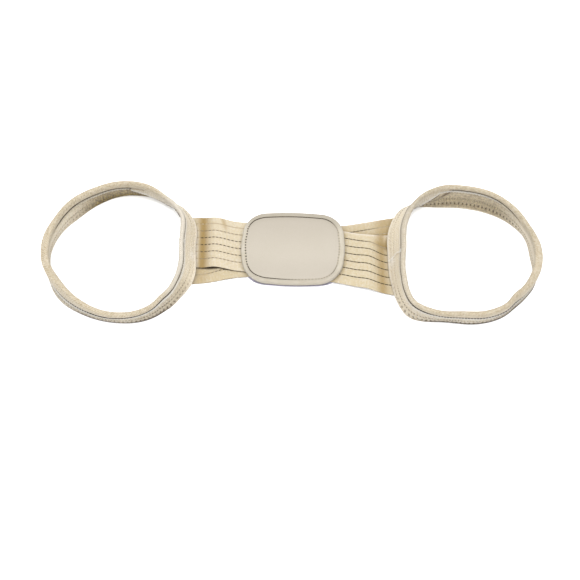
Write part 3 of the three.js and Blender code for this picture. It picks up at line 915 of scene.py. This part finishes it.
def loop_threads(side, loop):
    """A band's threads: dark lines and rows on both faces, pale edge stitches and tacks."""
    turns, lengths = loop_lengths(loop)
    length = lengths[-1]
    count = round(length / THREAD_PITCH)
    pieces = []

    def turn_at(distance):
        return np.interp(np.mod(distance, length), lengths, turns)

    def sew(label, face, base, *stitches):
        """Adds stitches on a face that base places off the band's middle."""
        def place(along, up, lift):
            turn = turn_at(along)
            if face == INNER:
                lap = lap_length(loop, turn)
                through = base(up) + 0.85 * np.clip(lap, 0, 1) * (up > LEG_EDGE - lap) + lift
            else:
                through = -base(up) * (1 - squeeze(loop, turn) * ease(up, 20.5, 21.5)) - lift
            return place_on_loop(loop, turn, through, raised(loop, turn, up, face))

        pieces.append(stitches_piece(f"{side}_loop_{label}", place, *stitches))

    def on_line(up):
        return 2.3 + 0.35 * ease(up, OUTER_LINE + 0.1, OUTER_LINE + 0.5) * (up < INNER_LINE - 0.1)

    def on_web(up):
        return web_half(up) - 0.15

    def on_edging(up):
        return web_half(up) + 0.1

    def on_seam(up):
        return np.where(up > 21, 2.5, web_half(up))

    for face, label, line in ((INNER, "inner", INNER_LINE), (OUTER, "outer", OUTER_LINE)):
        outer = face == OUTER
        steps = length * np.arange(count) / count
        turn = turn_at(steps)
        near = near_side(turn) * outer
        faded = np.maximum(line_fade(loop, turn, face), lap_cover(loop, turn) * (not outer))
        shown = faded < HIDDEN_FADE
        dash = 2.95 - near * (1 - bearing_window(turn, *loop.solid_deg, 8))
        spots = np.stack([steps, line + 0.35 * near, 0 * steps], axis=1)
        sizes = (size[shown] for size in (dash, 0.8 + near, 0.75 + 1.05 * near))
        sew(f"{label}_line", face, on_line, spots[shown], *sizes, LOOP_THREAD, faded[shown])
        row_fade = 0.25 + 0.7 * join_nearness(loop, turn, 20, 40) if outer else 0.2 + 0.6 * (1 - loop.pits)
        row = [(step, ROW_HEIGHT - OUTER_LADDER_DROP * outer, 0) for step in steps]
        sew(f"{label}_row", face, on_web, row, *ROW_STITCH, LOOP_THREAD, row_fade)
        steps = length * np.arange(2 * count) / (2 * count)
        turn = turn_at(steps)
        near = near_side(turn) * outer
        lap = lap_length(loop, turn) * (not outer)
        up = np.where(lap > 0.5, LEG_EDGE - lap + 0.7, EDGING_HEIGHT - 0.9 * near)
        zigzag = [(step, h, ZIGZAG_DEG * (-1) ** k) for k, (step, h) in enumerate(zip(steps, up))]
        fade = 1 - np.maximum(pale_share(loop, turn, face), lap > 0.5)
        sizes = (2.0, 0.65 + 0.6 * near, 0.7 + near)
        sew(f"{label}_edging", face, on_edging, zigzag, *sizes, WHITE_THREAD, fade)
    tack_at = np.interp(loop.tack_deg / 360, turns, lengths)
    bars = [(tack_at + 0.55 * k, 22.4 + 0.4 * (-1) ** k, 90 + 12 * (-1) ** k) for k in range(-3, 4)]
    sew("tack", OUTER, lambda up: 2.55, bars, *TACK_STITCH, WHITE_THREAD)
    if loop.seam_deg is not None:
        seam_at = np.interp(loop.seam_deg / 360, turns, lengths)
        ups = np.arange(3.5, 29, 1.5)
        seam = [(seam_at + SEAM_SWAY * math.sin(h / SEAM_PITCH), h, 90) for h in ups]
        sew("seam", OUTER, on_seam, seam, *SEAM_STITCH, WHITE_THREAD, 0.35)
    return pieces


# Elastic straps

def strap_column(rows, name, x):
    """A column of a strap's rows at x: places run smoothly on, and heights level off at each row."""
    table = np.array(rows, float)
    xs, values = table[:, 0], table[:, STRAP_COLUMNS.index(name)]
    if name.endswith("_y"):
        return open_curve(xs, values, x)
    index = np.clip(np.searchsorted(xs, x, side="right") - 1, 0, len(xs) - 2)
    share = ease((x - xs[index]) / (xs[index + 1] - xs[index]))
    return values[index] * (1 - share) + values[index + 1] * share


def place_on_strap(strap, x, share, lift):
    """Points of a strap: x along it, share of its width from the upper edge, lift over its underside. The
    front strap's threads crowd down at one end."""
    x, share, lift = np.broadcast_arrays(x, share, lift)
    crowd = strap.crowd * ease(x, 78, 100)
    at = share + crowd * (0.11 - 0.1 * share) * np.clip(share / 0.12, 0, 1)
    upper_y, upper_z, lower_y, lower_z = (strap_column(strap.rows, name, x) for name in STRAP_COLUMNS[1:])
    y = upper_y * (1 - at) + lower_y * at
    z = upper_z * (1 - at) + lower_z * at
    return np.stack([x, y, z + lift + strap.swell(x, y, at)], axis=-1)


def line_shares(strap):
    return (strap.line_first + strap.line_pitch * np.arange(LINE_COUNT)) / STRAP_WIDTH


def strap_top(strap, share):
    """Height of the strap's outer face: full ribs between the sewn lines and rolled edges."""
    lines = np.concatenate([[0.0], line_shares(strap), [1.0]])
    index = np.clip(np.searchsorted(lines, share, side="right") - 1, 0, len(lines) - 2)
    between = (share - lines[index]) / (lines[index + 1] - lines[index])
    rib = STRAP_RIB * np.sqrt(np.clip(np.sin(np.pi * between), 0, 1))
    return STRAP_THICKNESS - STRAP_RIB + rib


def strap_body(name, strap):
    """Ribbed webbing: across its outer face, then back along its underside."""
    x = np.arange(-STRAP_HALF_LENGTH, STRAP_HALF_LENGTH + 0.01, STRAP_STEP)
    beside_line = np.array([-1.4, -0.9, -0.5, 0, 0.5, 0.9, 1.4]) / STRAP_WIDTH
    lines = [line + beside_line for line in line_shares(strap)]
    fine = np.unique(np.concatenate([np.linspace(0, 1, 61), *lines, [0.004, 0.012, 0.988, 0.996]]))
    share = np.concatenate([fine, fine[::-1]])
    under = 0.25 - 0.25 * ease(np.minimum(fine, 1 - fine), 0, 0.02)[::-1]
    lift = np.concatenate([strap_top(strap, fine), under])
    outer = np.concatenate([np.ones(len(fine)), np.zeros(len(fine))])
    points = place_on_strap(strap, x[:, None], share, lift)
    at_x, at_y, _ = np.moveaxis(points, -1, 0)
    across = running(np.abs(np.diff(share * STRAP_WIDTH)) + 0.02)
    # Painted highlight along the upper edge, stronger to the right; paler over the left part; painted light
    # on the left end by the band's foot.
    edge = bell(share, 0, 0.025) * (0.2 + 0.8 * ease(at_x, 30, 60))
    edge = edge + strap.pale * (1 - ease(at_x, -70, 20))
    edge = edge + 0.4 * (1 - ease(at_x, -101, -97.5)) * ease(share, 0.12, 0.3)
    # Painted shade in the grooves of the sewn lines.
    groove = np.max([bell(share, line, 0.6 / STRAP_WIDTH) for line in line_shares(strap)], axis=0)
    # fold holds painted shade in folds and the pad's painted shadow; dark also lays painted shade over the
    # whole underside.
    masks = {
        "groove": np.broadcast_to(groove * outer * 0.5, at_x.shape),
        "fold": np.clip(strap.fold(at_x, at_y, share) + pad_shade(at_x, at_y), 0, 1),
        "dark": np.clip(strap.dark(at_x, at_y, share) + 0.9 * (1 - outer), 0, 1),
        "edge": np.clip(edge, 0, 1),
    }
    masks = {key: value[:, ::-1] for key, value in masks.items()}
    return sheet_piece(name, points[:, ::-1], ELASTIC, x, across, False, masks)


def strap_threads(name, strap):
    """Dark thread in each sewn line of the outer face: short dashes, longer at the right."""
    spots = np.arange(-STRAP_STITCH_FROM, STRAP_STITCH_FROM + 0.1, STRAP_STITCH_PITCH)
    starts = [(x, share * STRAP_WIDTH, 0) for share in line_shares(strap) for x in spots]
    fade = [strap.fade(x, k) for k in range(LINE_COUNT) for x in spots]
    lengths = np.where(np.tile(spots, LINE_COUNT) > 50, 3.9, 2.6)

    def place(along, across, lift):
        return place_on_strap(strap, along, across / STRAP_WIDTH, STRAP_THICKNESS - 0.4 + lift)

    return stitches_piece(name, place, starts, lengths, 1.1, 0.65, STRAP_THREAD, fade)


def pad_shade(x, y):
    """Painted shadow on the straps close to the pad's edge, on its right; on its left it takes a little
    painted shade away.
    """
    corner = PAD_CORNERS[-1]
    beyond_x = np.clip(np.abs(x) - (PAD_LENGTH / 2 + PAD_BULGE - corner), 0, None)
    beyond_y = np.clip(np.abs(y) - (PAD_HEIGHT / 2 + PAD_BULGE - corner), 0, None)
    off = np.clip(np.hypot(beyond_x, beyond_y) - corner, 0, None)
    return np.where(x > 0, 0.28, -0.1) * np.exp(-off / 2.0)


def front_fold(x, y, share):
    """Shade held in the folds beside the arm loops."""
    # lit_foot is the strap's end under the left band's foot, kept free of painted shade.
    lit_foot = ease(share, 0.12, 0.3) * (1 - ease(x, -102, -97))
    left = 0.95 * bell(x, -94.6, 6.6) * (1 - lit_foot)
    crease = 0.5 * bell(x + 74.5 - 20 * share, 0, 2.2) * (1 - ease(share, 0.12, 0.3))
    right = 0.75 * bell(x, 92.5, 6)
    pocket = 0.86 * ease(x, 80, 92) * bell(share, 0.12, 0.1)
    return left + crease + np.maximum(pocket, right)


def front_pocket_shade(x, y, share):
    """Painted shade in the deep end of the pocket beside the right loop."""
    return 0.2 * ease(x, 86, 95) * bell(share, 0.13, 0.07)


def front_swell(x, y, share):
    """A low wave across the front strap, at the right."""
    return 2.5 * bell(x, 76, 8) * ease(share, 0.1, 0.4)


def front_fade(x, line):
    """How pale a stitch is: some lines at the left, all at its end, one in the pocket."""
    if x < 0:
        return max(LEFT_LINE_FADES[line], 1 - float(ease(x, -100, -97)))
    return 0.6 * float(ease(x, 72, 84)) * (line == 0)


def back_fold(x, y, share):
    """Shade towards both ends and along the front strap's upper edge."""
    above = np.clip(y - strap_column(FRONT_ROWS, "upper_y", x), 0, None)
    ends = 0.3 * ease(np.abs(x), 84, 96) + 0.15 * ease(x, 80, 90)
    return 0.17 + ends + 0.4 * ease(x, 30, 60) * np.exp(-above / 3)


def back_gap_shadow(x, y, share):
    """Painted shadow in the gap under the front strap's lower edge, at the left."""
    below = strap_column(FRONT_ROWS, "lower_y", x) - y
    reach = 1.0 + 1.2 * (1 - ease(x, -88, -76))
    return (1 - ease(below, -0.4, reach)) * (1 - ease(x, -50, -40))


def back_swell(x, y, share):
    """The back strap lifts a little under the front strap's lower edge, at the left."""
    below = strap_column(FRONT_ROWS, "lower_y", x) - y
    return 3.4 * bell(x, -76, 10) * (1 - ease(below, 0, 14))


def back_fade(x, line):
    """How pale a stitch is: more towards both ends."""
    return 0.1 + 0.7 * float(ease(abs(x), 70, 95))


FRONT_STRAP = SimpleNamespace(
    rows=FRONT_ROWS, crowd=1.0, line_first=7.8, line_pitch=8.4, pale=0.2,
    fold=front_fold, dark=front_pocket_shade, swell=front_swell, fade=front_fade,
)
BACK_STRAP = SimpleNamespace(
    rows=BACK_ROWS, crowd=0.0, line_first=9.5, line_pitch=8.06, pale=0.0,
    fold=back_fold, dark=back_gap_shadow, swell=back_swell, fade=back_fade,
)


# Back pad

def pad_edge():
    """The pad's outline: even points, the way out at each, and the length round it."""
    signs = np.array([(1, 1), (-1, 1), (-1, -1), (1, -1)])
    outs = np.array([(0, 1), (-1, 0), (0, -1), (1, 0)])
    half = np.array([PAD_LENGTH, PAD_HEIGHT]) / 2
    arcs = []
    for quarter, radius in enumerate(PAD_CORNERS):
        angles = np.radians(90 * quarter + np.linspace(0, 90, 40))
        round_off = radius * np.stack([np.cos(angles), np.sin(angles)], axis=1)
        arcs.append(signs[quarter] * (half - radius) + round_off)
    share = np.linspace(0, 1, 26)[1:-1, None]
    path = []
    for arc, following, out in zip(arcs, arcs[1:] + arcs[:1], outs):
        straight = arc[-1] + (following[0] - arc[-1]) * share
        path += [arc, straight + out * PAD_BULGE * 4 * share * (1 - share)]
    path = np.concatenate([*path, arcs[0][:1]])
    lengths = running(np.linalg.norm(np.diff(path, axis=0), axis=1))
    at = lengths[-1] * np.arange(PAD_SPOKES) / PAD_SPOKES
    points = np.stack([np.interp(at, lengths, path[:, k]) for k in range(2)], axis=1)
    along = np.roll(points, -2, axis=0) - np.roll(points, 2, axis=0)
    along = along / np.linalg.norm(along, axis=1, keepdims=True)
    return points, np.stack([along[:, 1], -along[:, 0]], axis=1), lengths[-1]


# At each spoke: how much narrower the tape is, on the left and along the bottom, how open the sewn groove is,
# which closes at the sides, and how dark its painted shade is.
PAD_EDGE, PAD_OUT, PAD_AROUND = pad_edge()
OUT_X, OUT_Y = PAD_OUT.T
LEG_CUT = -1.3 * ease(-OUT_X, 0.3, 0.9) - 1.1 * ease(-OUT_Y, 0.3, 0.9)
GROOVE_OPEN = ease(np.abs(OUT_Y), 0.15, 0.6)
GROOVE_SHADE = 0.85 * GROOVE_OPEN - ease(-OUT_Y, 0.6, 1.0) * (0.4 + 0.4 * ease(PAD_EDGE[:, 0], -20, 15))


def turn_pad(points):
    """Pad points turned as the pad lies on the straps."""
    angle = math.radians(PAD_TURN_DEG)
    c, s = math.cos(angle), math.sin(angle)
    x, y, z = np.moveaxis(points, -1, 0)
    return np.stack([c * x - s * y, s * x + c * y + PAD_SHIFT_Y, z], axis=-1)


def pad_ring(inset, z, scale=1.0):
    """A ring of points drawn in from the pad's edge, at a height."""
    outline = PAD_EDGE - PAD_OUT * np.reshape(inset, (-1, 1))
    return np.column_stack([outline * scale, np.broadcast_to(z, PAD_SPOKES)])


def pad_leather_piece():
    """The padded panel: a rim inside the tape, a sewn groove and a low crown."""
    under = ((5.9, PANEL_UNDERSIDE), (5.9, 6.9), (1.7, 6.9), (1.7, 9.6))
    groove = ((5.3, 9.9), (5.7, 10.3), (6.1, 10.8), (6.7, 11.15), (7.6, 11.4), (9.0, 11.6), (11, 11.8),
              (PAD_SCALED_FROM, PANEL_SHOULDER))
    rings = [pad_ring(PAD_SCALED_FROM, PANEL_UNDERSIDE, scale) for scale in (0.02, 0.5, 1.0)]
    rings += [pad_ring(inset, z) for inset, z in under]
    groove_from = len(rings)
    for inset, z in groove:
        closed = max(LEATHER_CLOSED - z, 0) * (1 - GROOVE_OPEN) * ease(inset, 5.0, 5.4)
        rings.append(pad_ring(inset + LEG_CUT * (1 - ease(inset, 7.5, 13)), z + closed))
    for scale in np.linspace(0.92, 0.02, 14):
        crown = PANEL_SHOULDER + (PANEL_CROWN - PANEL_SHOULDER) * (1 - scale**2)
        rings.append(pad_ring(PAD_SCALED_FROM, crown, scale))
    # Painted shade in the sewn groove, on its first three rings.
    shade = np.zeros(len(rings))
    shade[groove_from : groove_from + 3] = (1.0, 0.8, 0.25)
    rings = turn_pad(np.array(rings))
    # Painted shade: darker towards the top of the crown, and towards its bottom.
    y = rings[..., 1]
    masks = {
        "groove": shade[:, None] * GROOVE_SHADE,
        "painted_shade": ease(y, -10, 40) + 0.75 * ease(-y, 8, 32),
    }
    return dome_piece("pad_leather", rings, LEATHER, masks)


def pad_tape_piece():
    """Tape folded round the pad's edge, with a soft roll and small gathers."""
    profile = ((5.5, 5.35), (3.4, 5.3), (1.6, 5.35), (0.7, 5.7), (0.2, 6.5), (0.0, 7.5), (0.0, 9.0),
               (0.25, 10.1), (0.8, 10.9), (1.6, 11.3), (2.6, 11.5), (3.6, 11.5), (4.6, 11.35), (5.2, 11.1),
               (5.5, 10.75), (5.5, 10.3), (5.2, 10.0), (1.5, 9.95), (1.35, 8.3), (1.5, 6.6), (5.4, 6.55))
    distance = PAD_AROUND * np.arange(PAD_SPOKES) / PAD_SPOKES
    gathers = 0.1 * wander(distance, 9, 5) + 0.06 * np.cos(2 * np.pi * distance / PAD_STITCH_PITCH)
    rings = []
    for inset, z in profile:
        closed = max(TAPE_CLOSED - z, 0) * (1 - GROOVE_OPEN) * ease(inset, 4.6, 5.3) * ease(z, 10.4, 10.7)
        gathered = z + gathers * ease(z, 10.2, 11.2) + closed
        rings.append(pad_ring(inset + LEG_CUT * ease(inset, 1.6, 5.0), gathered))
    points = turn_pad(np.array(rings)).transpose(1, 0, 2)
    insets, heights = np.array(profile).T
    across = running(np.hypot(np.diff(insets), np.diff(heights)))
    # Painted shade at the tape's inner edge, in the sewn groove.
    groove = ease(insets, 5.2, 5.5) * ease(11.1 - heights, 0, 0.8) * (heights > 9.9)
    # Painted shade: along the tape's top, less along its bottom, and on the lower part of its side.
    painted_shade = 1.1 * ease(OUT_Y, 0.2, 0.8) + 0.45 * ease(-OUT_Y, 0.2, 0.8)
    masks = {
        "groove": GROOVE_SHADE[:, None] * groove,
        "painted_shade": np.clip(painted_shade[:, None] + 1 - ease(heights, 5.6, 9.5), 0, 1.5),
    }
    return sheet_piece("pad_tape", points, TAPE, distance, across, True, masks)


def pad_thread_piece():
    """Stitches in the groove between the tape and the panel, paler at the sides and the lower right, where
    every other one is a painted sheen.
    """
    count = 2 * round(PAD_AROUND / PAD_STITCH_PITCH)
    spots = [(PAD_AROUND * k / count, PAD_STITCH_INSET, 0) for k in range(count)]
    base = np.arange(PAD_SPOKES + 1) * PAD_AROUND / PAD_SPOKES

    def along_edge(values, at):
        return np.interp(np.mod(at, PAD_AROUND), base, np.append(values, values[0]))

    def place(along, inset, lift):
        inset = inset + along_edge(LEG_CUT, along)
        x = along_edge(PAD_EDGE[:, 0], along) - inset * along_edge(OUT_X, along)
        y = along_edge(PAD_EDGE[:, 1], along) - inset * along_edge(OUT_Y, along)
        z = PAD_STITCH_HEIGHT - PAD_STITCH_SINK * along_edge(GROOVE_OPEN, along)
        return turn_pad(np.stack([x, y, z + lift], axis=-1))

    right, upward, x = (along_edge(v, np.array(spots)[:, 0]) for v in (OUT_X, OUT_Y, PAD_EDGE[:, 0]))
    beside = 1 - ease(np.abs(upward), 0.2, 0.6)
    # Painted sheen: every other stitch is pale at the sides, and paler at the lower right.
    sheen_stitches = np.arange(count) % 2
    fade = np.maximum(0.6 * ease(right, 0.5, 0.95), beside * sheen_stitches)
    lower_right = ease(-upward, 0.4, 0.9) * ease(x, -20, 15)
    fade = np.maximum(fade, lower_right * (0.45 + 0.4 * sheen_stitches))
    return stitches_piece("pad_thread", place, spots, 1.75 - 0.3 * beside, 1.5, 0.7, PAD_THREAD, fade)


def pad_backing_piece():
    """Backing cloth: flat on the floor under the straps, rising to the tape at the long edges."""
    scales = (0.02, 0.4, 0.75, 1.0)
    edge = ((9, 0.0, 0), (5, 0.0, 0), (2.5, 0.0, 0.6), (0.6, 0.1, 1), (0.4, 0.6, 1), (0.7, 1.1, 1),
            (2.5, BACKING_THICKNESS, 0.6), (5, BACKING_THICKNESS, 0), (9, BACKING_THICKNESS, 0))
    rings = [pad_ring(PAD_SCALED_FROM, 0.0, scale) for scale in scales]
    for inset, z, amount in edge:
        ring = pad_ring(inset, z)
        ring[:, 2] += amount * BACKING_EDGE_RISE * ease(np.abs(ring[:, 1]), BACKING_RISE_FROM, PAD_HEIGHT / 2)
        rings.append(ring)
    rings += [pad_ring(PAD_SCALED_FROM, BACKING_THICKNESS, scale) for scale in scales[::-1]]
    return dome_piece("pad_backing_cloth", turn_pad(np.array(rings)), BACKING, {})


# Assembly

def add(piece, nodes=()):
    """The piece rides on the one body and stands for its CAD nodes, which it hides."""
    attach(piece, "root")
    if nodes:
        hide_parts(*nodes)
    return piece


def build_pad():
    leather = add(pad_leather_piece(), ["pad_panel"])
    tape = add(pad_tape_piece(), ["pad_binding"])
    backing = add(pad_backing_piece(), ["pad_backing"])
    thread = add(pad_thread_piece())


def build_straps():
    for label, strap, under in (("front", FRONT_STRAP, "strap_back"), ("back", BACK_STRAP, "floor")):
        body = add(strap_body(f"{label}_strap_webbing", strap), [f"strap_{label}"])
        thread = add(strap_threads(f"{label}_strap_thread", strap))


def build_loops():
    for side, loop in (("left", LEFT_LOOP), ("right", RIGHT_LOOP)):
        web = add(loop_web(f"{side}_loop_web", loop), [f"{side}_loop_band"])
        roll = add(loop_roll(f"{side}_loop_roll", loop), [f"{side}_loop_binding"])
        threads = [add(piece) for piece in loop_threads(side, loop)]
        length = loop_lengths(loop)[1][-1] * MM


# Stage

def build_floor():
    spots = np.linspace(-FLOOR_HALF, FLOOR_HALF, FLOOR_SPOTS)
    x, y = np.meshgrid(spots, spots, indexing="ij")
    points = np.stack([x, y, np.zeros_like(x)], axis=-1).reshape(-1, 3)
    faces, _ = grid_faces(FLOOR_SPOTS, FLOOR_SPOTS, False, False)
    floor = build_piece("floor", points, [face[::-1] for face in faces], floor_material())


def build_lights():
    """Soft square lights that face the middle, and a white world."""
    for name, place, size, power in LIGHTS:
        data = bpy.data.lights.new(name, "AREA")
        data.shape = "SQUARE"
        data.size = size
        data.energy = power
        light = bpy.data.objects.new(name, data)
        light.location = place
        light.rotation_euler = (-Vector(place)).to_track_quat("-Z", "Y").to_euler()
        bpy.context.scene.collection.objects.link(light)
    world = bpy.data.worlds.new("studio")
    world.use_nodes = True
    background = world.node_tree.nodes["Background"]
    background.inputs["Color"].default_value = (1, 1, 1, 1)
    background.inputs["Strength"].default_value = WORLD_STRENGTH
    bpy.context.scene.world = world
    bpy.context.scene.view_settings.view_transform = "Standard"


def build_camera():
    rise = math.radians(CAMERA_RISE_DEG)
    ahead = Vector((0, math.cos(rise), -math.sin(rise)))
    right = Vector((1, 0, 0))
    up = Vector((0, math.sin(rise), math.cos(rise)))
    aim_x, aim_y = (p * CAMERA_MM_PER_PIXEL for p in CAMERA_AIM_PIXELS)
    data = bpy.data.cameras.new("camera")
    data.sensor_width = SENSOR_WIDTH
    data.lens = SENSOR_WIDTH * CAMERA_DISTANCE / (IMAGE_PIXELS * CAMERA_MM_PER_PIXEL)
    camera = bpy.data.objects.new("camera", data)
    camera.location = (aim_x * right + aim_y * up - CAMERA_DISTANCE * ahead) * MM
    camera.rotation_euler = (math.pi / 2 - rise, 0, 0)
    bpy.context.scene.collection.objects.link(camera)
    bpy.context.scene.camera = camera


build_camera()
build_floor()
build_lights()
build_pad()
build_straps()
build_loops()
